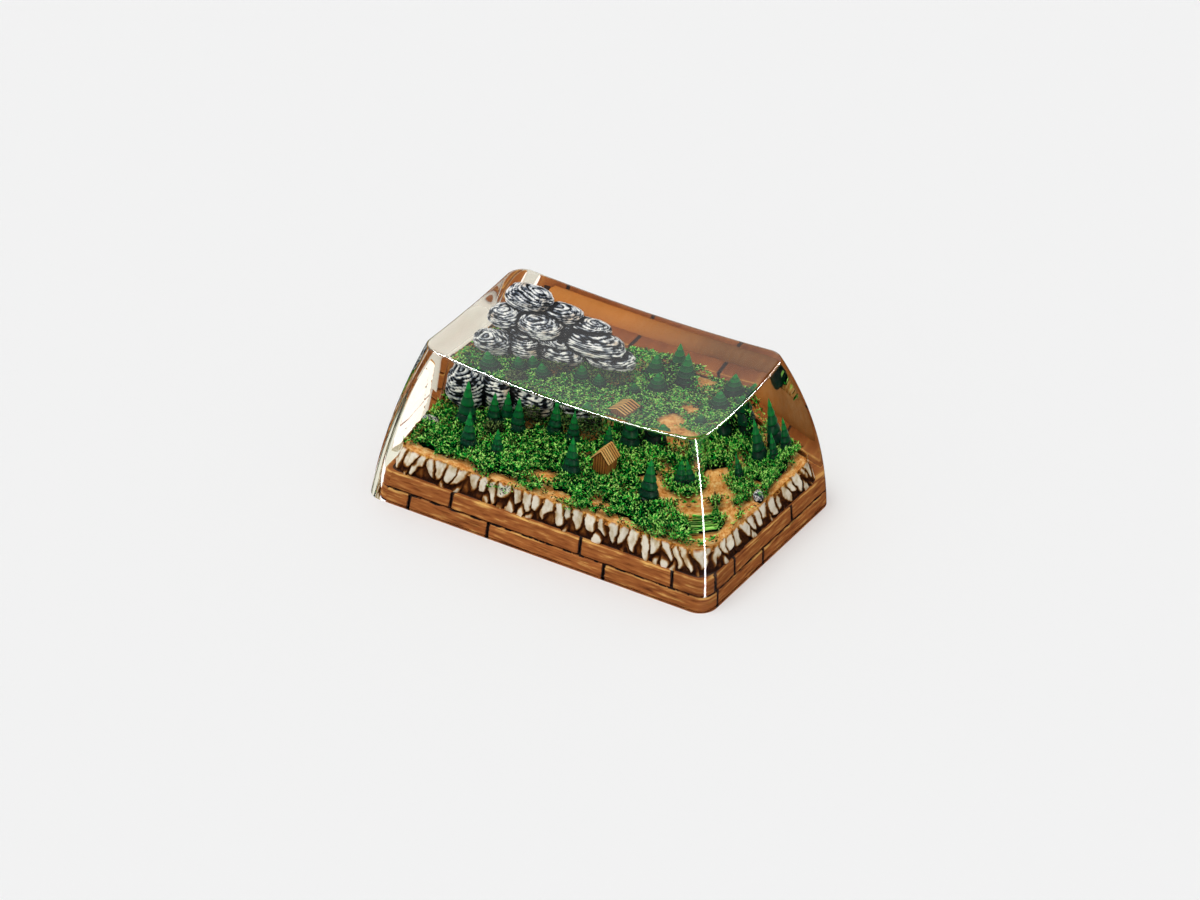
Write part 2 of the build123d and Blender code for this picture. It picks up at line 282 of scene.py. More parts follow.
def resinSkin():
    stations = ringSamples(*resin["stations"])
    count = len(stations)
    liner = [ringPlace(s, resin["liner"], resin["linerCorner"]) for s in stations]
    rows = [[(x, y, z) for x, y, outX, outY in liner] for z in (resin["linerTop"], resin["bottom"])]
    rims = [rimHeight(s) for s in stations]
    cut = resin["topEdge"] * 0.77    # tangent length of the rounding at this wall's lean
    for row in range(resin["wallRows"] + 1):
        ring = []
        for s, rim in zip(stations, rims):
            z = resin["bottom"] + (rim - cut - resin["bottom"]) * row / resin["wallRows"]
            x, y, outX, outY = ringPlace(s, limits(z), cap["corner"])
            ring.append((x, y, z))
        rows.append(ring)
    below = [Vector(p) for p in rows[-1]]
    corners, inside = [], []
    for s, rim in zip(stations, rims):
        x, y, outX, outY = ringPlace(s, limits(rim), cap["corner"])
        corners.append(Vector((x, y, rim)))
        x, y = x - outX * cut, y - outY * cut
        inside.append(Vector((x, y, dishHeight(x, y))))
    weight = 0.79    # of the corner, for a round arc
    for row in range(1, resin["edgeRows"] + 1):
        t = row / resin["edgeRows"]
        a, b, c = (1 - t) ** 2, 2 * t * (1 - t) * weight, t * t
        rows.append([tuple((p * a + q * b + r * c) / (a + b + c)) for p, q, r in zip(below, corners, inside)])
    middleY = (cap["frontLean"] - cap["backLean"]) / 2
    for row in range(1, resin["topRows"]):
        keep = 1 - row / resin["topRows"]
        ring = []
        for p in inside:
            x, y = p.x * keep, middleY + (p.y - middleY) * keep
            ring.append((x, y, dishHeight(x, y)))
        rows.append(ring)
    points = [p for ring in rows for p in ring]
    faces = ringFaces(len(rows), count)
    lid, top = len(points), len(points) + 1
    points += [(0, 0, resin["linerTop"]), (0, middleY, dishHeight(0, middleY))]
    faces += [(j, i, tip) for i, j, tip in fan(0, count, lid)]
    faces += fan((len(rows) - 1) * count, count, top)
    return points, faces, {}


# Epoxy, cast clear and polished: full transmission with sharp reflections, and a straw tint in its depth.
clearEpoxy, tree, shader = newMaterial("clearEpoxyPolished", Transmission_Weight=1.0, Roughness=0.0, IOR=1.5)
shader.inputs["Base Color"].default_value = hexToLinear("#FFFFFF")
rays = addNode(tree, "LightPath").outputs
unseen = maths(tree, "MAXIMUM", rays["Is Shadow Ray"], rays["Is Diffuse Ray"])
solid = maths(tree, "SUBTRACT", 1.0, unseen)    # light reaches the landscape without caustic noise
tree.links.new(solid, shader.inputs["Alpha"])
straw = addNode(tree, "VolumeAbsorption", {"Color": hexToLinear("#F0E574"), "Density": 15.0})
tree.links.new(straw.outputs[0], tree.nodes["Material Output"].inputs["Volume"])
skin = addPiece("resin_skin", resinSkin(), clearEpoxy, ["resin_body"], sharpAngle=50)
print("clear resin done,", len(skin.data.polygons), "faces")


# Plank base: the CAD casting stays, dark in its grooves, and carries carved boards
boards = {
    "levels": ((0.04, 1.05), (1.2, 2.35)),  # foot and head of the lower and the upper course
    "frontJoints": ((-11.1, -4.1, 6.0), (-7.5, 3.8, 11.7)),
    "backJoints": ((-6.0, 4.1, 11.1), (-11.0, -2.9, 5.3)),
    "endJoints": ((-7.2, -0.8), (-7.2, -4.6, 3.5)),
    "corner": 0.7,
    "proud": 0.06,      # boards stand this far out of the casting
    "edge": 0.17,       # half width of a joint
    "relief": 0.04,     # depth of the carved grain
    "backGrain": 0.3,   # share of it left on the plain back
    "seamDepth": 0.22,
    "seamNotch": 0.12,  # how far a joint cuts into the head of a course
    "groove": (0.045, 0.02),  # unevenness and width of the line between the courses
    "runs": (26.0, 15.6, 1.1),  # long side, short side and corner of the ring
    "step": 0.06,       # between its stations
    "glow": 1.15,       # painted glow of the left end's mirror image in the wall
    "glowFrom": 0.12,   # its least distance from the wall
    "seed": 11,
}

# Cast resin under a black-brown wash: a deep matt brown that stays in grooves.
washedBase, tree, shader = newMaterial("castResinDarkWash", Roughness=0.75, Specular_IOR_Level=0.2)
tone = ramp(tree, speckle(tree, 1.2, Detail=4.0), (0.3, "#1B0E06"), (0.7, "#3A2010"))
paint(tree, shader, tone)
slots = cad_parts["plank_base"].data.materials
slots.clear()
slots.append(washedBase)


def ringLengths(places):
    # distance run round the ring up to each station, and the whole length
    runs = [0.0]
    for a, b in zip(places, places[1:] + places[:1]):
        runs.append(runs[-1] + math.hypot(b[0] - a[0], b[1] - a[1]))
    return runs[:-1], runs[-1]


def jointRuns(course, edges, radius):
    # places of a course's joints as distances round the ring
    left, right, front, back = edges
    longRun, shortRun, arc = right - left - 2 * radius, back - front - 2 * radius, math.pi / 2 * radius
    runs = [x - left - radius for x in boards["frontJoints"][course]]
    runs += [longRun + arc + y - front - radius for y in boards["endJoints"][course]]
    runs += [longRun + shortRun + 2 * arc + right - radius - x for x in boards["backJoints"][course]]
    runs += [2 * longRun + shortRun + 3 * arc + back - radius + y for y in boards["endJoints"][course]]
    return sorted(runs)


def boardCourse(course):
    low, high = boards["levels"][course]
    dice = random.Random(boards["seed"] + course)
    stations = ringSamples(*[round(run / boards["step"]) for run in boards["runs"]])
    middle = limits((low + high) / 2, cap["skins"])
    places = [ringPlace(s, middle, boards["corner"]) for s in stations]
    runs = ringLengths(places)[0]
    joints = jointRuns(course, middle, boards["corner"])
    tints = [dice.random() for i in range(len(joints) + 1)]
    # out of the face, share of the height, wear with painted light: a painted highlight on the top edge and
    # painted shade at the foot
    profile = [(-0.3, 0.0, 0.0), (-0.1, 0.0, -0.3), (-0.03, 0.04, -0.1)]
    profile += [(0.0, 0.1 + 0.8 * i / 9, 0.0) for i in range(10)]
    profile += [(-0.01, 0.95, 0.25), (-0.06, 1.0, 0.4), (-0.16, 1.0, 0.05), (-1.0, 1.0, 0.0)]
    foot = limits(high, cap["skins"], cap["footLedges"], (0.15,) * 4)
    points, along, tint, crestAndPaintedLight, paintedGlow, calm = [], [], [], [], [], []
    for out, share, wear in profile:
        z = low + (high - low) * share
        for s, run in zip(stations, runs):
            x, y, outX, outY = ringPlace(s, limits(z, cap["skins"]), boards["corner"])
            away = min(abs(run - joint) for joint in joints) + 0.05 * wobble(run * 2, z * 5.0, 8.0, 2)
            plank = sum(run > joint for joint in joints) % len(joints)
            seam = 1 - smoothStep(0.35 * boards["edge"], boards["edge"], away)
            grain = wobble(run * 0.55, z * 5.5 + plank * 7, course * 9.0, 3)
            grain *= boards["backGrain"] if s[0] == backSide else 1.0
            if out == -1.0:
                x, y, outX, outY = ringPlace(s, foot, boards["corner"])    # top face reaches in to the cliff
                lift = 0.0
            else:
                lift = boards["proud"] + boards["relief"] * grain + out - boards["seamDepth"] * seam
            drop = boards["seamNotch"] * seam * (share > 0.9)
            if s[0] != backSide and (course == 0 and share > 0.8 or course == 1 and share < 0.15):
                drop += boards["groove"][0] * wobble(run * 1.1, course * 5.0, 6.0, 3) + boards["groove"][1]
            points.append((x + outX * lift, y + outY * lift, z - drop + 0.02 * (share == 1)))
            paintedGlow.append(boards["glow"] * (s[0] == leftSide))
            calm.append(float(s[0] == backSide))
            along.append(run + 31 * plank)
            tint.append(tints[plank])
            crestAndPaintedLight.append(clamp(0.5 + 0.5 * grain) + wear - 1.6 * seam)
    values = {"along": along, "tint": tint, "crestAndPaintedLight": crestAndPaintedLight, "paintedGlow": paintedGlow, "calm": calm}
    return points, ringFaces(len(profile), len(stations)), values


# Cast resin painted as oiled planks: warm orange-brown, darker in the carved grain, rubbed light on crests,
# with a painted highlight along the top edges and painted shade at the feet.
paintedPlank, tree, shader = newMaterial("castResinPaintedPlank", Roughness=0.6, Specular_IOR_Level=0.04)
coords = addNode(tree, "TexCoord")
rise = addNode(tree, "SeparateXYZ", {0: coords.outputs["Object"]})
up = maths(tree, "MULTIPLY", rise.outputs["Z"], 1 / mm)
fibre = addNode(tree, "CombineXYZ", {"X": attribute(tree, "along"), "Y": up}).outputs[0]
# fibres 0.11 mm wide and 1.4 mm long
streak = streaks(tree, fibre, (0.7, 9.0, 1.0), Scale=1.0, Detail=6.0, Roughness=0.7, Distortion=0.9)
depth = maths(tree, "ADD", attribute(tree, "crestAndPaintedLight"), streak)
half = maths(tree, "MULTIPLY", depth, 0.5)
wood = ramp(tree, half, (0.1, "#120803"), (0.26, "#5A2C12"), (0.38, "#8E5028"), (0.56, "#AA6634"),
            (0.82, "#ECB868"))
shade = maths(tree, "MULTIPLY_ADD", attribute(tree, "tint"), 0.3, 0.82)
toned = addNode(tree, "HueSaturation", {"Color": wood, "Value": shade})
crack = streaks(tree, fibre, (0.4, 6.0, 1.0), Scale=1.0, Detail=3.0, Distortion=0.6)
line = remap(tree, crack, 0.58, 0.66, toHigh=0.45)
fade = maths(tree, "SUBTRACT", line, attribute(tree, "calm"), use_clamp=True)
lined = blend(tree, fade, toned.outputs["Color"], hexToLinear("#54280A"))
paint(tree, shader, lined)
roughen(tree, shader, streak, 0.35, 0.05)
# painted glow: the left end's mirror image in the resin is painted white by emission, seen only in
# reflection, but not along the cap's own foot
rays = addNode(tree, "LightPath").outputs
mirrored = maths(tree, "SUBTRACT", rays["Is Reflection Ray"], rays["Is Diffuse Ray"])
far = maths(tree, "GREATER_THAN", rays["Ray Length"], boards["glowFrom"] * mm)
towards = addNode(tree, "SeparateXYZ", {0: addNode(tree, "NewGeometry").outputs["Incoming"]})
falling = maths(tree, "GREATER_THAN", towards.outputs["Z"], 0.0)
inWall = maths(tree, "MULTIPLY", mirrored, maths(tree, "MAXIMUM", far, falling))
paintedGlare = maths(tree, "MULTIPLY", inWall, attribute(tree, "paintedGlow"))
tree.links.new(paintedGlare, shader.inputs["Emission Strength"])
shader.inputs["Emission Color"].default_value = hexToLinear("#F6F9FF")
for course, name in enumerate(("plank_boards_lower", "plank_boards_upper")):
    addPiece(name, boardCourse(course), paintedPlank)
print("plank base done")


# Cliff: upright carved shards round the ground's edge
cliff = {
    "pitch": 0.92,      # mean width of a shard
    "shard": (0.42, 1.0),  # how far a shard claims across and up
    "gapDepth": 0.34,
    "gapWidth": 0.06,
    "sway": (0.16, 0.14),  # how far the cracks wander across and up
    "rightLean": 0.35,  # slant of the shards on the right end
    "carve": 0.07,      # relief on a shard
    "rows": 34,
    "runs": (23.6, 12.0, 2.2),  # long side, short side and corner of the ring
    "step": 0.06,
    "corner": 1.4,
    "seed": 5,
}


def cliffShards(whole):
    # tall shards above, shorter ones between their feet, some missing
    dice = random.Random(cliff["seed"])
    count = round(whole / cliff["pitch"])
    shards = []
    for i in range(count):
        for share, missing in ((0.58, 0.0), (-0.04, 0.4)):
            shards.append({
                "run": (i + 0.5 * (share < 0.5) + dice.uniform(-0.34, 0.34)) * whole / count,
                "z": cap["plankTop"] + (ground - cap["plankTop"]) * (share + dice.uniform(-0.18, 0.18)),
                "slant": dice.uniform(-0.5, 0.5),
                "facing": dice.uniform(-0.12, 0.12),
                "nod": dice.uniform(-0.08, 0.1),
                "bulge": dice.uniform(-0.1, 0.08),
                "wide": dice.choice((0.6, 1.0, 1.3, 2.2)),
                "missing": dice.random() < missing,
                "tone": dice.random(),
            })
    return shards


def cliffFace():
    low, high = cap["plankTop"] - 0.02, ground + 0.1
    foot = limits(cap["plankTop"], cap["skins"], cap["footLedges"])
    stations = ringSamples(*[round(run / cliff["step"]) for run in cliff["runs"]])
    places = [ringPlace(s, rimEdges, cliff["corner"]) for s in stations]
    runs, whole = ringLengths(places)
    shards = cliffShards(whole)
    near = []
    for run in runs:
        offs = [((run - shard["run"] + whole / 2) % whole - whole / 2, shard) for shard in shards]
        near.append([(off, shard) for off, shard in offs if abs(off) < 1.5])
    points, washAndShade, tones, sandy, calm = [], [], [], [], []
    for row in range(cliff["rows"] + 1):
        share = row / cliff["rows"]
        z = low + (high - low) * share
        edges = [a + (b - a) * share for a, b in zip(foot, rimEdges)]
        for s, run, close in zip(stations, runs, near):
            x, y, outX, outY = ringPlace(s, edges, cliff["corner"])
            swayX = cliff["sway"][0] * wobble(run * 1.2, z * 1.5, 3.0, 3)
            swayZ = cliff["sway"][1] * wobble(run * 1.1, z * 1.7, 13.0, 2)
            first, second, chosen = 9.0, 9.0, None
            for off, shard in close:
                slant = shard["slant"] - cliff["rightLean"] * (s[0] == rightSide)
                across = (off - slant * (z - shard["z"]) - swayX) / cliff["shard"][0]
                up = (z + swayZ - shard["z"]) / cliff["shard"][1]
                away = math.hypot(across, up)
                if away < first:
                    first, second, chosen = away, first, (shard, across, up)
                elif away < second:
                    second = away
            shard, across, up = chosen
            room = 0.25 * (second - first)    # millimetres to the nearest crack
            width = cliff["gapWidth"] * shard["wide"] * (0.6 + 1.2 * (1 - share))
            body = smoothStep(0.15 * width, width, room) * (0.2 if shard["missing"] else 1.0)
            stain = smoothStep(0.0, 0.16, room - 0.3 * width) * (0.25 if shard["missing"] else 1.0)
            lean = shard["bulge"] + shard["facing"] * across + shard["nod"] * up
            rim = smoothStep(ground - 0.1, ground + 0.08, z + 0.2 * wobble(run * 1.9, 1.0, 8.0, 3))
            if s[0] == backSide and not s[1]:
                body, lean, rim, stain = 1.0, 0.0, 0.0, 0.54    # plain brown at the back
            carve = wobble(run * 1.7, z * 1.1, shard["tone"] * 20, 3) * (0.2 if s[0] == backSide else 1.0)
            lift = -cliff["gapDepth"] * (1 - body) * (1 - 0.75 * rim)
            lift += body * (lean + cliff["carve"] * carve) * (1 - rim)
            lift += 0.1 * rim * wobble(run * 1.7, z * 2, 5.0, 2)
            points.append((x + outX * lift, y + outY * lift, z + rim * 0.06 * wobble(run * 1.3, 0.0, 2.0, 2)))
            # painted shade: darker along the cliff's foot, just above the planks
            footShade = 0.25 * (1 - smoothStep(0.0, 0.2, share))
            washAndShade.append(clamp(stain * (0.86 + 0.4 * carve) + 0.2 * share * (1 - stain) - footShade))
            tones.append(shard["tone"])
            sandy.append(max(rim, 0.85 * (1 - stain) * smoothStep(0.72, 1.0, share)))
            calm.append(0.8 * (s[0] == backSide))
    values = {"washAndShade": washAndShade, "tone": tones, "sandy": sandy, "calm": calm}
    return points, ringFaces(cliff["rows"] + 1, len(stations)), values


# Cast resin painted as cream stone: pale dry-brushed faces, brown wash in the gaps, sand on the top edge, and
# painted shade along the foot.
paintedCliff, tree, shader = newMaterial("castResinPaintedCliff", Roughness=0.7, Specular_IOR_Level=0.03)
grit = speckle(tree, 0.35, Detail=6.0, Roughness=0.7)
worn = maths(tree, "MULTIPLY_ADD", grit, 0.5, -0.25)
level = maths(tree, "ADD", attribute(tree, "washAndShade"), worn)
stone = ramp(tree, level, (0.02, "#2E1406"), (0.24, "#6A3A14"), (0.46, "#A27038"), (0.64, "#CEBB98"),
             (0.92, "#EFE6D4"))
shade = maths(tree, "MULTIPLY_ADD", attribute(tree, "tone"), 0.25, 0.82)
toned = addNode(tree, "HueSaturation", {"Color": stone, "Value": shade})
sand = ramp(tree, grit, (0.35, "#7A3E12"), (0.48, "#BE7428"), (0.62, "#F0BE62"))
mixed = blend(tree, attribute(tree, "sandy"), toned.outputs["Color"], sand)
place = addNode(tree, "SeparateXYZ", {0: addNode(tree, "TexCoord").outputs["Object"]})
acrossBack = remap(tree, place.outputs["X"], -5 * mm, 4 * mm)
clay = blend(tree, acrossBack, hexToLinear("#FFA552"), hexToLinear("#966030"))    # plain back, lighter orange at the left end and darker brown towards the right
even = blend(tree, attribute(tree, "calm"), mixed, clay)
paint(tree, shader, even)
roughen(tree, shader, grit, 0.4, 0.06)
rock = addPiece("cliff_stones", cliffFace(), paintedCliff, ["cliff_terrain"])
print("cliff done,", len(rock.data.polygons), "faces")


# Sand on the ground, with low mounds: centre, spread and rise of each
sandGround = {
    "rings": 34,
    "stations": (150, 80, 12),
    "swell": 0.1,       # height of the soft humps
    "mounds": ((6.4, -0.2, 1.1, 0.55), (8.6, -1.3, 0.8, 0.25), (-1.0, -4.4, 0.9, 0.2), (5.6, 6.3, 0.9, 0.3)),
}


def groundHeight(x, y):
    z = ground + sandGround["swell"] * wobble(x * 0.5, y * 0.5, 1.0, 3)
    for moundX, moundY, spread, rise in sandGround["mounds"]:
        z += rise * math.exp(-((x - moundX) ** 2 + (y - moundY) ** 2) / spread ** 2)
    return z


def sandSheet():
    stations = ringSamples(*sandGround["stations"])
    outer = [ringPlace(s, rimEdges, cliff["corner"]) for s in stations]
    middleX, middleY = (rimEdges[0] + rimEdges[1]) / 2, (rimEdges[2] + rimEdges[3]) / 2
    points = []
    for ring in range(sandGround["rings"]):
        keep = 1 - ring / sandGround["rings"]
        for x, y, outX, outY in outer:
            px, py = middleX + (x - middleX) * keep, middleY + (y - middleY) * keep
            rimDrop = 0.35 * smoothStep(0.93, 1.0, keep) ** 2
            points.append((px, py, groundHeight(px, py) - rimDrop + 0.04 * wobble(px * 3, py * 3, 2.0, 2)))
    faces = ringFaces(sandGround["rings"], len(stations))
    faces += fan(len(points) - len(stations), len(stations), len(points))
    points.append((middleX, middleY, groundHeight(middleX, middleY)))
    return points, faces, {}


# Fine sand in tinted resin: orange-brown, mottled light and dark, gritty.
brushedSand, tree, shader = newMaterial("sandInTintedResin", Roughness=0.85, Specular_IOR_Level=0.02)
blot = speckle(tree, 0.5, Detail=8.0, Roughness=0.8)
sand = ramp(tree, blot, (0.3, "#964A14"), (0.43, "#D68640"), (0.54, "#F4B86E"), (0.66, "#FFEAB0"))
paint(tree, shader, sand)
roughen(tree, shader, blot, 0.6, 0.1)
addPiece("sand_ground", sandSheet(), brushedSand, ["cliff_terrain"])
print("sand done")


# Boulders: centre and half sizes of each, as in the CAD
pile = {
    "boulders": (
        ((-10.0, 6.0, 9.8), (1.9, 1.35, 1.25)), ((-7.1, 6.2, 8.7), (1.6, 1.15, 1.2)),
        ((-7.9, 4.4, 8.2), (1.8, 1.4, 1.2)), ((-10.9, 4.2, 7.9), (1.35, 1.35, 1.25)),
        ((-4.7, 6.2, 7.9), (1.75, 1.1, 1.15)), ((-3.9, 5.2, 7.1), (2.9, 1.5, 1.35)),
        ((-10.6, 1.7, 5.9), (1.65, 1.25, 1.5)), ((-8.4, 2.6, 5.8), (1.5, 1.2, 1.25)),
        ((-5.8, 3.5, 5.7), (2.0, 1.25, 1.2)), ((-1.9, 4.9, 5.8), (2.1, 1.35, 1.2)),
    ),
    "rubble": (
        ((-9.4, 4.9, 6.4), (2.2, 1.9, 2.0)), ((-6.4, 5.2, 6.2), (2.4, 1.7, 1.9)),
        ((-9.0, 5.3, 7.9), (1.5, 1.2, 1.2)), ((-6.3, 3.9, 6.85), (1.35, 0.9, 0.85)),
        ((-9.0, 3.6, 7.0), (1.25, 0.9, 0.85)), ((-5.9, 5.0, 7.5), (1.2, 1.0, 0.9)),
    ),
    "boxiness": 2.3,    # 2 is an ellipsoid
    "layers": 4.6,      # carved layers in each unit of a boulder's radius
    "carve": 0.11,      # depth of the cuts as a share of the radius
    "creviceShade": 0.3,     # how far the painted shade between two boulders reaches
    "rows": 56,
    "columns": 84,
    "seed": 23,
    "stones": (("left_stone", 31), ("right_stone", 37)),  # and the seed of each
    "stoneRise": 0.15,  # its centre above the CAD stone's foot
    "stoneHalf": 0.45,  # half its height
}


def boulderShell(centre, halves, others, dice):
    tilt = Vector((dice.uniform(-0.4, 0.4), dice.uniform(-0.4, 0.4), 1)).normalized()
    shift = Vector([dice.uniform(0, 50) for i in range(3)])
    points, crestAndPaintedLight = [], []
    rows, columns, power = pile["rows"], pile["columns"], pile["boxiness"]
    for row in range(rows + 1):
        polar = math.pi * row / rows
        for column in range(columns):
            turn = 2 * math.pi * column / columns
            d = Vector((math.sin(polar) * math.cos(turn), math.sin(polar) * math.sin(turn), math.cos(polar)))
            boxy = sum(abs(v) ** power for v in d) ** (-1 / power)
            p = d * boxy * (1.06 + 0.1 * wobble(*(d * 1.2 + shift), 2))
            warp = 0.17 * wobble(*(p * 1.1 + shift), 2)
            rise = p.dot(tilt)
            dome = rise - 0.5 * (p - tilt * rise).length    # so that tops show rings
            layer = (dome + warp) * pile["layers"] + 20
            within = layer - math.floor(layer)
            cut = max(math.exp(-(within / 0.16) ** 2), math.exp(-((within - 1) / 0.08) ** 2))
            fine = math.exp(-((layer * 2.6 % 1.0) / 0.25) ** 2)
            broken = smoothStep(-0.45, 0.05, wobble(*(p * 1.8 - shift), 2))
            chip = wobble(*(p * 3.2 + shift), 3)
            p *= 1 - pile["carve"] * (cut * (0.3 + 0.7 * broken) - 0.3 * chip)
            place = [c + h * v for c, h, v in zip(centre, halves, p)]
            # painted shade: darker where the boulder comes near another one, and near the ground
            near = 0.0
            for otherCentre, otherHalves in others:
                offs = [(v - c) / h for v, c, h in zip(place, otherCentre, otherHalves)]
                away = math.sqrt(sum(off ** 2 for off in offs)) - 1
                near = max(near, 1 - clamp(away / pile["creviceShade"]))
            near = max(near, 1 - clamp((place[2] - ground) / min(0.5, 0.3 * halves[2])))
            points.append(tuple(place))
            level = 0.56 + 0.2 * within - 0.62 * cut * (0.4 + 0.6 * broken)
            crestAndPaintedLight.append(level - 0.16 * fine + 0.38 * chip - 0.75 * near)
    faces = ringFaces(rows + 1, columns)
    return points, [tuple(reversed(f)) for f in faces], crestAndPaintedLight


def merge(shells, key):
    # several shells as one shape, with one value for each point
    points, faces, values = [], [], []
    for shellPoints, shellFaces, shellValues in shells:
        first = len(points)
        points += shellPoints
        faces += [tuple(first + i for i in f) for f in shellFaces]
        values += shellValues
    return points, faces, {key: values}


# Cast resin painted as layered rock: white dry-brushed crests, grey faces, blue-black wash in cuts, some tan,
# and painted shade between the boulders and at their feet.
paintedRock, tree, shader = newMaterial("castResinPaintedRock", Roughness=0.6, Specular_IOR_Level=0.04)
grit = speckle(tree, 0.4, Detail=6.0, Roughness=0.75)
worn = maths(tree, "MULTIPLY_ADD", grit, 0.5, -0.25)
level = maths(tree, "ADD", attribute(tree, "crestAndPaintedLight"), worn)
rock = ramp(tree, level, (0.27, "#02040A"), (0.42, "#0E141E"), (0.51, "#505B6C"), (0.61, "#B2B7C0"),
            (0.77, "#FFFFFF"))
patch = speckle(tree, 1.6, Detail=3.0)
tan = remap(tree, patch, 0.53, 0.68, toHigh=0.6)
warm = blend(tree, tan, rock, hexToLinear("#C09A66"), blend_type="MULTIPLY")
paint(tree, shader, warm)
roughen(tree, shader, grit, 0.4, 0.08)


def addRock(name, stones, seed, node):
    dice = random.Random(seed)
    shells = [boulderShell(*stone, stones[:i] + stones[i + 1:], dice) for i, stone in enumerate(stones)]
    addPiece(name, merge(shells, "crestAndPaintedLight"), paintedRock, [node])


addRock("boulders", pile["boulders"] + pile["rubble"], pile["seed"], "boulder_pile")
for name, seed in pile["stones"]:
    low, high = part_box(name)
    middle = [(a + b) / 2 / mm for a, b in zip(low, high)]
    halves = [(b - a) / 2 / mm for a, b in zip(low, high)]
    middle[2], halves[2] = low.z / mm + pile["stoneRise"], pile["stoneHalf"]
    addRock(name + "_carved", [(middle, halves)], seed, name)
print("boulders done")


# Pines: stacked drooping tiers, place and height from the frame
pines = {
    "tiers": 6,
    "slimness": 0.25,   # foot radius as a share of the height
    "girth": 0.95,      # and the widest it gets
    "segments": 24,
    # outline of a tier: share of its height, and how far it stands out
    "flares": ((0.0, 0.86), (0.03, 1.05), (0.14, 1.12), (0.4, 1.07), (0.7, 1.0), (0.97, 0.94)),
}


def pineShell(x, y, z, height, seed):
    tiers, segments = pines["tiers"], pines["segments"]
    points, rise, tier = [], [], []
    foot = min(pines["slimness"] * height, pines["girth"])
    for i in range(tiers):
        low, high = height * i / tiers, height * (i + 1) / tiers
        for share, flare in pines["flares"]:
            up = low + (high - low) * share
            reach = foot * flare * (1 - up / height) ** 0.85
            for k in range(segments):
                turn = 2 * math.pi * k / segments
                ripple = 1 + 0.07 * wobble(math.cos(turn) * 2 + seed, math.sin(turn) * 2 + i * 3.0, share, 2)
                wide = reach * ripple
                points.append((x + wide * math.cos(turn), y + wide * math.sin(turn), z + up))
                rise.append(up / height)
                tier.append(share)
    faces = ringFaces(len(points) // segments, segments)
    faces += fan(len(points) - segments, segments, len(points))
    faces += [(j, i, tip) for i, j, tip in fan(0, segments, len(points) + 1)]
    points += [(x, y, z + height), (x, y, z)]
    rise += [1.0, 0.0]
    tier += [0.2, 0.0]
    return points, faces, {"rise": rise, "tier": tier}


# Green tinted resin, cast in a soft mould: saturated emerald and teal, darker toward the foot, with painted
# light and shade on each tier.
greenResin, tree, shader = newMaterial("tintedResinPine", Roughness=0.35, Specular_IOR_Level=0.08)
# painted light and shade: each tier lighter at its drooping rim and darker at its top, under the next tier's
# overhang
lean = maths(tree, "MULTIPLY_ADD", attribute(tree, "tier"), 0.45, -0.2)
level = maths(tree, "SUBTRACT", attribute(tree, "rise"), lean)
green = ramp(tree, level, (0.02, "#001C16"), (0.3, "#013826"), (0.6, "#045F30"), (0.95, "#10923E"))
paint(tree, shader, green)
for i, name in enumerate(sorted(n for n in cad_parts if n.startswith("pine_"))):
    low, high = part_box(name)
    x, y = (low.x + high.x) / 2 / mm, (low.y + high.y) / 2 / mm
    shape = pineShell(x, y, ground - 0.05, (high.z - low.z) / mm, i * 5.3)
    addPiece(name + "_tiers", shape, greenResin, [name])
print("pines done")


# Cabin: board walls and a strip roof, as the CAD has it
hut = {
    "place": (2.65, -0.6),
    "turn": -6.0,
    "width": 1.3,
    "length": 1.75,
    "wall": 1.45,
    "pitch": 46.0,
    "overhang": 0.17,
    "frontBoards": 6,
    "frontGap": 0.03,   # half the gap between two boards
    "sideBoards": 7,
    "sideGap": 0.02,
    "board": 0.05,      # thickness
    "strips": 7,
    "stripGap": 0.075,
    "strip": 0.07,
    "coreInset": 0.04,  # dark body behind the boards
    "coreRoof": 0.06,
    "sink": 0.02,       # into the ground
}
slope = math.tan(math.radians(hut["pitch"]))
ridge = hut["wall"] + hut["width"] / 2 * slope


def slab(corners, thickness):
    # a board between four corners, raised along its normal, with softened top edges
    a, b, c, d = [Vector(p) for p in corners]
    normal = (b - a).cross(d - a).normalized()
    middle = (a + b + c + d) / 4
    rings = []
    for up, softness in ((0.0, 0.0), (0.6, 0.0), (1.0, 0.035)):
        ring = []
        for p in (a, b, c, d):
            shrink = 1.0 - softness / max(0.05, (p - middle).length)
            ring.append(middle + (p - middle) * shrink + normal * thickness * up)
        rings.append(ring)
    points = [p for ring in rings for p in ring]
    faces = [(3, 2, 1, 0), (8, 9, 10, 11)]
    for row in range(2):
        for k in range(4):
            j = (k + 1) % 4
            faces.append((row * 4 + k, row * 4 + j, row * 4 + 4 + j, row * 4 + 4 + k))
    return points, faces


def boardEnds(i, count, length, gap):
    # both edges of one of several boards that lie side by side
    return -length / 2 + length * i / count + gap, -length / 2 + length * (i + 1) / count - gap


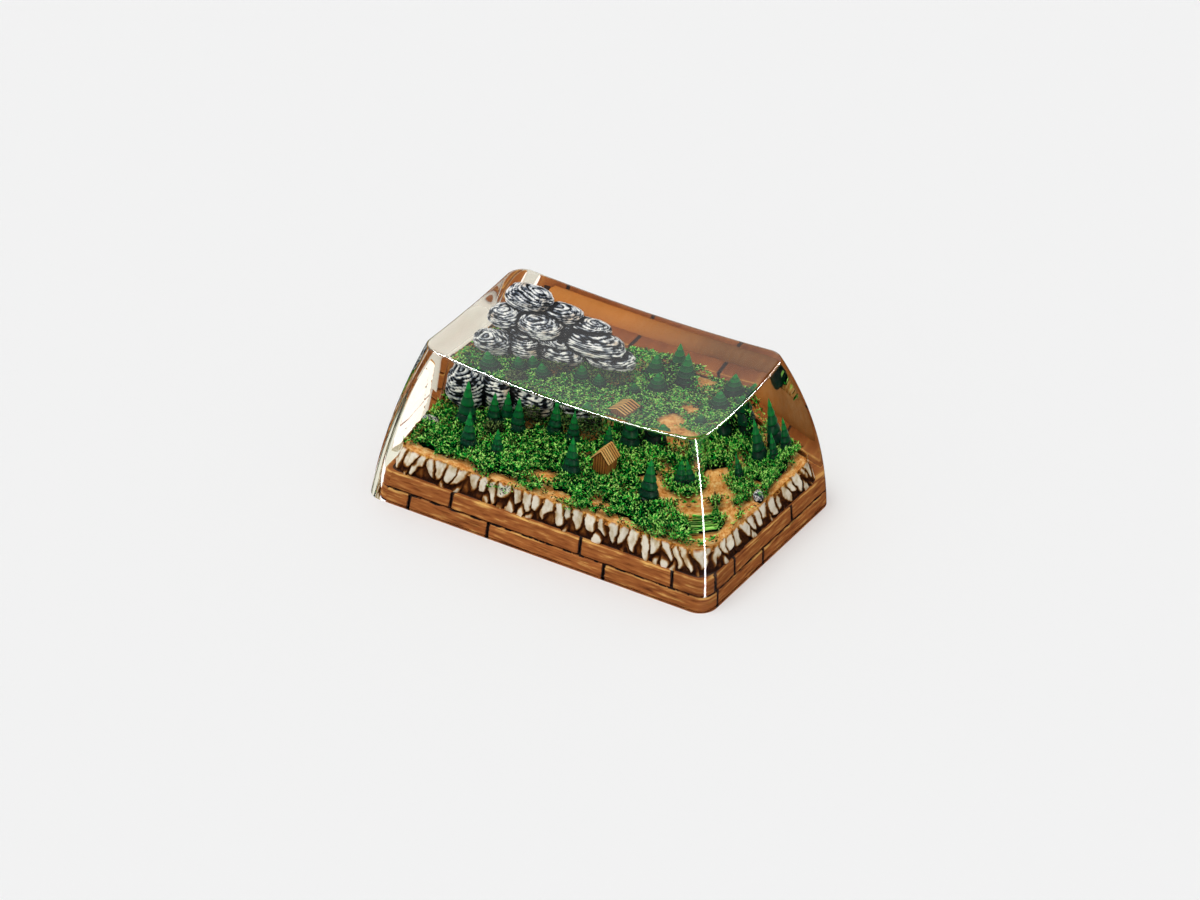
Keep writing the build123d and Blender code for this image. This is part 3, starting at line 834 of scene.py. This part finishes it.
def cabinBoards():
    half, longHalf = hut["width"] / 2, hut["length"] / 2
    reach = half + hut["overhang"]
    length = hut["length"] + 2 * hut["overhang"]
    low, high = ridge - reach * slope + hut["strip"], ridge + hut["strip"]    # of the roof strips
    walls, roof = [], []
    for side in (-1, 1):
        for i in range(hut["frontBoards"]):
            x0, x1 = boardEnds(i, hut["frontBoards"], hut["width"], hut["frontGap"])
            top0, top1 = ridge - abs(x0) * slope, ridge - abs(x1) * slope
            y = side * (longHalf - hut["board"])
            corners = [(x0, y, 0), (x1, y, 0), (x1, y, top1), (x0, y, top0)]
            walls.append(slab(corners if side < 0 else corners[::-1], hut["board"]))
        for i in range(hut["sideBoards"]):
            y0, y1 = boardEnds(i, hut["sideBoards"], hut["length"], hut["sideGap"])
            x = side * (half - hut["board"])
            corners = [(x, y0, 0), (x, y1, 0), (x, y1, hut["wall"]), (x, y0, hut["wall"])]
            walls.append(slab(corners if side > 0 else corners[::-1], hut["board"]))
        for i in range(hut["strips"]):
            y0, y1 = boardEnds(i, hut["strips"], length, hut["stripGap"])
            corners = [(0, y0, high), (side * reach, y0, low), (side * reach, y1, low), (0, y1, high)]
            roof.append(slab(corners if side > 0 else corners[::-1], hut["strip"]))
    return walls, roof


def cabinCore():
    inset = hut["coreInset"]
    half, longHalf = hut["width"] / 2 - inset, hut["length"] / 2 - inset
    reach = half + hut["overhang"]
    wall, eave = ridge - half * slope, ridge - reach * slope
    outline = [(-half, 0), (half, 0), (half, wall), (0, ridge), (-half, wall)]
    roofLine = [(-reach, eave), (0, ridge), (reach, eave)]
    roofLine += [(x, z + hut["coreRoof"]) for x, z in roofLine[::-1]]
    made = []
    for line, depth in ((outline, longHalf), (roofLine, longHalf + hut["overhang"])):
        n = len(line)
        points = [Vector((x, y, z)) for y in (-depth, depth) for x, z in line]
        faces = [tuple(range(n)), tuple(range(2 * n - 1, n - 1, -1))]
        faces += [((k + 1) % n, k, n + k, n + (k + 1) % n) for k in range(n)]
        made.append((points, faces))
    return made


# Cast resin painted as sawn boards: tan strips on the roof, red-brown walls, dark lines between.
paintedBoards, tree, shader = newMaterial("castResinPaintedBoards", Roughness=0.6, Specular_IOR_Level=0.04)
coords = addNode(tree, "TexCoord")
streak = streaks(tree, coords.outputs["Object"], (9.0, 9.0, 1.5), Scale=1 / (1.0 * mm), Detail=4.0)
wear = maths(tree, "MULTIPLY_ADD", streak, 0.22, -0.11)
level = maths(tree, "ADD", attribute(tree, "tint"), wear)
wood = ramp(tree, level, (0.0, "#1C0D05"), (0.25, "#5A2C12"), (0.45, "#94552B"), (0.7, "#C98A45"),
            (1.0, "#F0C27C"))
paint(tree, shader, wood)
walls, roof = cabinBoards()
dice = random.Random(3)
tints = [0.48 + 0.16 * dice.random() for i in walls] + [0.74 + 0.24 * dice.random() for i in roof]
turn = Matrix.Rotation(math.radians(hut["turn"]), 4, "Z")
place = Matrix.Translation((*hut["place"], ground - hut["sink"])) @ turn
shells = []
for (points, faces), tint in zip(walls + roof + cabinCore(), tints + [0.1, 0.0]):
    shells.append(([tuple(place @ p) for p in points], faces, [tint] * len(points)))
addPiece("cabin_boards", merge(shells, "tint"), paintedBoards, ["cabin"], sharpAngle=30)
print("cabin done")


# Foliage: centre and half sizes of each mat as in the CAD
foliage = {
    "mats": (
        (-10.2, -4.0, 2.1, 2.5), (-5.3, -4.1, 2.0, 2.4), (-1.9, -1.6, 1.9, 1.9), (1.4, -4.4, 1.7, 1.9),
        (6.7, -4.1, 2.9, 2.2), (11.1, -4.3, 1.4, 1.3), (5.2, 0.5, 1.5, 1.9), (-2.9, 1.6, 2.2, 1.4),
        (-7.7, -0.1, 2.3, 1.2), (1.5, 2.9, 1.7, 1.3), (3.2, 5.9, 3.0, 1.4), (9.9, 4.0, 2.4, 2.3),
    ),
    "bare": (           # where sand shows: centre and half sizes
        (-1.0, -4.4, 1.3, 1.1), (0.8, -6.3, 1.7, 0.8), (4.3, -5.6, 1.0, 1.0), (6.8, -6.5, 1.3, 0.7),
        (6.5, 0.0, 1.2, 1.4), (8.3, -1.3, 2.1, 1.0), (11.0, -2.4, 1.7, 1.1), (12.5, -4.6, 0.7, 2.2),
        (6.8, 2.4, 0.9, 0.8), (5.9, 6.4, 1.1, 0.9), (-3.6, -6.8, 1.6, 0.7), (-8.0, -6.9, 2.2, 0.7),
        (11.0, 1.6, 1.1, 0.6), (-11.3, -6.6, 1.5, 0.6), (12.4, -0.6, 0.8, 1.6), (12.8, 4.0, 0.6, 2.0),
        (12.7, 6.6, 1.1, 1.1),
    ),
    "rim": 0.55,        # width of the sand along the cliff's edge
    "spills": (         # where moss runs over it: x, half width and reach
        (-3.9, 1.5, 1.15), (2.4, 1.6, 0.6), (8.8, 2.2, 0.45), (-11.6, 0.8, 0.3),
    ),
    "bushes": (         # centre, radius, height above the mat, olive share
        (-7.0, -0.8, 0.9, 0.5, 0.9), (-5.1, 2.2, 1.1, 1.2, 0.9), (-2.6, 3.0, 1.2, 1.0, 0.7),
        (-0.4, 3.5, 1.2, 0.9, 0.8), (0.5, 6.4, 1.3, 2.3, 0.0), (2.0, 6.5, 1.3, 2.4, 0.0),
        (3.5, 6.5, 1.3, 2.3, 0.0), (4.9, 6.4, 1.2, 2.0, 0.0), (-0.8, 6.3, 1.1, 2.0, 0.0),
        (2.5, 5.2, 1.3, 1.2, 0.0), (7.0, 5.6, 1.0, 0.8, 0.2), (11.4, 5.4, 1.0, 0.6, 0.0),
    ),
    "perArea": 240,     # leaves to a square millimetre
    "leaf": (0.17, 0.38),  # shortest and longest leaf
    "slender": 0.34,    # width of a leaf as a share of its length
    "pitch": (-25, 55),  # degrees
    "roll": 0.9,
    "lift": (-0.25, 0.12),  # above or below the moss
    "bareFrom": 0.15,
    "seed": 41,
}


def onCabin(x, y):
    angle = math.radians(-hut["turn"])
    dx, dy = x - hut["place"][0], y - hut["place"][1]
    u, v = dx * math.cos(angle) - dy * math.sin(angle), dx * math.sin(angle) + dy * math.cos(angle)
    return abs(u) < hut["width"] / 2 + 0.05 and abs(v) < hut["length"] / 2 + 0.05


def bareness(x, y):
    ragged = 0.3 * wobble(x * 1.3, y * 1.3, 9.0, 2)
    left, right, front, back = rimEdges
    spill = sum(reach * math.exp(-((x - a) / half) ** 2) for a, half, reach in foliage["spills"])
    rim = 1 - min(x - left, right - x, y - front + spill) / foliage["rim"]
    return max(rim, max(1 - math.hypot((x - a) / w, (y - b) / d) for a, b, w, d in foliage["bare"])) + ragged


def bushHeight(x, y):
    # height of the taller bushes, and how olive they are
    tall, olive = 0.0, 0.0
    for a, b, radius, height, dull in foliage["bushes"]:
        away = math.hypot(x - a, y - b) / radius
        if away < 1:
            rise = height * math.sqrt(1 - away ** 2)
            if rise > tall:
                tall, olive = rise, dull
    return tall, olive


def mossHeight(x, y):
    lump = 0.45 + 0.4 * wobble(x * 0.9, y * 0.9, 4.0, 2) + 0.2 * wobble(x * 2.3, y * 2.3, 7.0, 1)
    return groundHeight(x, y) + max(0.12, lump) - 1.5 * clamp(rimEdges[2] + 0.3 - y)


def nearestMat(x, y):
    aways = [math.hypot((x - a) / w, (y - b) / d) for a, b, w, d in foliage["mats"]]
    return aways.index(min(aways))


def shadeCushion(mat):
    # painted shade: a dark cushion under the leaves of one mat
    centreX, centreY, halfX, halfY = mat
    points = []
    segments, rings = 40, 8
    for ring in range(rings + 1):
        share = 1 - ring / rings
        for k in range(segments):
            angle = 2 * math.pi * k / segments
            x, y = centreX + halfX * share * math.cos(angle), centreY + halfY * share * math.sin(angle)
            rise = (mossHeight(x, y) - groundHeight(x, y)) * (1 - share ** 4) - 0.1
            points.append((x, y, groundHeight(x, y) + (rise if bareness(x, y) < -0.05 else -0.3)))
    return points, ringFaces(rings + 1, segments)


def flock():
    # leaves over all the ground that isn't bare, shared out among the mats
    dice = random.Random(foliage["seed"])
    edges = limits(ground, cap["skins"], cap["rimLedges"], (0.1, 0.1, -0.3, 0.1))
    shells = []
    for mat in foliage["mats"]:
        points, faces = shadeCushion(mat)
        dark = [0.0] * len(points)
        shells.append({"points": points, "faces": faces, "shade": dark, "olive": list(dark)})
    width, depth = edges[1] - edges[0], edges[3] - edges[2]
    for i in range(round(width * depth * foliage["perArea"])):
        x, y = edges[0] + width * dice.random(), edges[2] + depth * dice.random()
        size = dice.uniform(*foliage["leaf"])
        heading = dice.uniform(0, 2 * math.pi)
        pitch = math.radians(dice.uniform(*foliage["pitch"]))
        roll = dice.uniform(-foliage["roll"], foliage["roll"])
        fresh = dice.random()
        lift = dice.uniform(*foliage["lift"])
        if bareness(x, y) > foliage["bareFrom"] or onCabin(x, y):
            continue
        tall, dull = bushHeight(x, y)
        z = mossHeight(x, y) + tall * (1 if dice.random() < 0.7 else dice.random()) + lift
        level = math.cos(pitch)
        forward = Vector((math.cos(heading) * level, math.sin(heading) * level, math.sin(pitch)))
        flat = Vector((-math.sin(heading), math.cos(heading), roll)).normalized()
        sideways = flat * size * foliage["slender"] / 2
        root = Vector((x, y, z))
        belly = root + forward * size * 0.45
        shell = shells[nearestMat(x + 0.4 * (fresh - 0.5), y)]
        first = len(shell["points"])
        tip = root + forward * size
        shell["points"] += [tuple(p) for p in (root, belly - sideways, tip, belly + sideways)]
        shell["faces"].append((first, first + 1, first + 2, first + 3))
        rightEndLighter = 0.1 * smoothStep(7.0, 11.0, x)    # a little lighter towards the right end
        patchy = 0.25 * wobble(x * 1.1, y * 1.1, 15.0, 2)
        # painted shade: leaves lying lower in the moss are darker
        shade = clamp(0.05 + rightEndLighter + 1.08 * fresh ** 1.8 + 0.9 * lift + patchy)
        shell["shade"] += [shade * 0.7, shade, clamp(shade * 1.25), shade]
        shell["olive"] += [dull if tall > 0 else 0.0] * 4
    return [(shell.pop("points"), shell.pop("faces"), shell) for shell in shells]


# Dyed foam flock: matt leaf crumbs, bottle green in the depth and lime on the tips, some clumps olive;
# painted shade darkens the depth and the cushion under the leaves.
dyedFlock, tree, shader = newMaterial("dyedFoamFlock", Roughness=0.8, Specular_IOR_Level=0.0)
shade = attribute(tree, "shade")
leaf = ramp(tree, shade, (0.04, "#001006"), (0.3, "#003E18"), (0.5, "#028C2E"), (0.68, "#3CE048"),
            (0.88, "#C8FF88"))
dusk = ramp(tree, shade, (0.0, "#0E120A"), (0.4, "#2A3420"), (0.75, "#4A5634"), (1.0, "#7A8558"))
mixed = blend(tree, attribute(tree, "olive"), leaf, dusk)
paint(tree, shader, mixed)
for i, shape in enumerate(flock()):
    name = f"foliage_{i + 1:02d}"
    addPiece(name + "_flock", shape, dyedFlock, [name])
print("foliage done")


# Table, light and camera
studio = {
    "table": "#F2F2F2",
    "tableMirrored": "#141414",  # painted reflection: the card is near black where the cap's walls mirror it, so the landscape keeps its contrast
    "fill": 0.59,       # even light from all round
    "key": 1.36,        # soft sun from above
    "keyAngle": 70,     # degrees across, so shadows stay soft
    "keyTurn": (16, -8, 0),
    "seenLow": 0.9,     # what gloss and glass see near the horizon
    "seenHigh": 0.15,   # and overhead
    "seenTurn": (0.68, 0.75),  # heights between which one becomes the other
    "seenBelow": 0.03,  # and from below
    "belowTurn": (0.25, 0.4),
    "seenThrough": 0.95,  # and what is seen through the glass
    "strips": (         # lights that the cap's edges catch: place, width, height and brightness
        ((-0.225, -0.165, 0.42), 0.17, 0.17, 34),
        ((0.2, 0.355, 0.296), 0.13, 0.13, 34),
        ((0.0198, -0.012, 0.0115), 0.0016, 0.0268, 34),
    ),
}
view = {
    "azimuth": 32.399,  # degrees round from the front, towards the right end
    "elevation": 33.057,
    "distance": 0.387594,
    "aim": (0.0, 0.0, 0.006285),
    "lens": 157.1,      # mm on a 36 mm wide sensor
    "shift": (0.00133, -0.0198),
}

# Matt white card under the object, with a painted reflection: near black where it is seen mirrored.
whiteCard, tree, shader = newMaterial("mattWhiteCard", Roughness=0.9, Specular_IOR_Level=0.0)
rays = addNode(tree, "LightPath").outputs
mirrored = maths(tree, "SUBTRACT", rays["Is Reflection Ray"], rays["Is Diffuse Ray"])
card = blend(tree, mirrored, hexToLinear(studio["table"]), hexToLinear(studio["tableMirrored"]))
paint(tree, shader, card)
table = bpy.data.meshes.new("table")
table.from_pydata([(-3, -3, 0), (3, -3, 0), (3, 3, 0), (-3, 3, 0)], [], [(0, 1, 2, 3)])
table.materials.append(whiteCard)
addObject("table", table)

world = bpy.data.worlds.new("studio")
bpy.context.scene.world = world
world.use_nodes = True
tree = world.node_tree
tree.nodes.clear()
coords = addNode(tree, "TexCoord")
height = addNode(tree, "SeparateXYZ", {0: coords.outputs["Generated"]})
upper = remap(tree, height.outputs["Z"], *studio["seenTurn"], studio["seenLow"], studio["seenHigh"])
lower = remap(tree, height.outputs["Z"], *studio["belowTurn"], studio["seenBelow"])
seenLevel = maths(tree, "MULTIPLY", upper, lower)
rays = addNode(tree, "LightPath").outputs
seen = maths(tree, "MAXIMUM", rays["Is Camera Ray"], rays["Is Glossy Ray"])
strength = addNode(tree, "Mix", {"Factor": seen, "A": studio["fill"], "B": seenLevel}, data_type="FLOAT")
strength = addNode(tree, "Mix", {"Factor": rays["Is Transmission Ray"], "A": strength.outputs[0],
                                 "B": studio["seenThrough"]}, data_type="FLOAT")
light = addNode(tree, "Background", {"Color": (1, 1, 1, 1), "Strength": strength.outputs[0]})
addNode(tree, "OutputWorld", {"Surface": light.outputs[0]})

sun = bpy.data.lights.new("softKey", "SUN")
sun.energy = studio["key"]
sun.angle = math.radians(studio["keyAngle"])
key = addObject("softKey", sun)
key.rotation_euler = [math.radians(a) for a in studio["keyTurn"]]
key.visible_glossy = False
key.visible_transmission = False

aim = Vector(view["aim"])
for i, (place, width, tall, power) in enumerate(studio["strips"]):
    lamp = bpy.data.lights.new(f"edgeStrip{i}", "AREA")
    lamp.shape = "RECTANGLE"
    lamp.size = width
    lamp.size_y = tall
    lamp.energy = power * math.pi * width * tall    # so that power is its brightness
    strip = addObject(f"edgeStrip{i}", lamp)
    strip.location = place
    strip.rotation_euler = (Vector(place) - aim).to_track_quat("Z", "Y").to_euler()
    strip.visible_camera = False
    strip.visible_diffuse = False
    strip.visible_transmission = False

lens = bpy.data.cameras.new("camera")
lens.lens = view["lens"]
lens.sensor_width = 36
lens.shift_x, lens.shift_y = view["shift"]
camera = addObject("camera", lens)
turn, climb = math.radians(view["azimuth"]), math.radians(view["elevation"])
back = Vector((math.sin(turn) * math.cos(climb), -math.cos(turn) * math.cos(climb), math.sin(climb)))
camera.location = aim + back * view["distance"]
camera.rotation_euler = back.to_track_quat("Z", "Y").to_euler()
bpy.context.scene.camera = camera
bpy.context.scene.view_settings.view_transform = "Standard"
print("studio done")
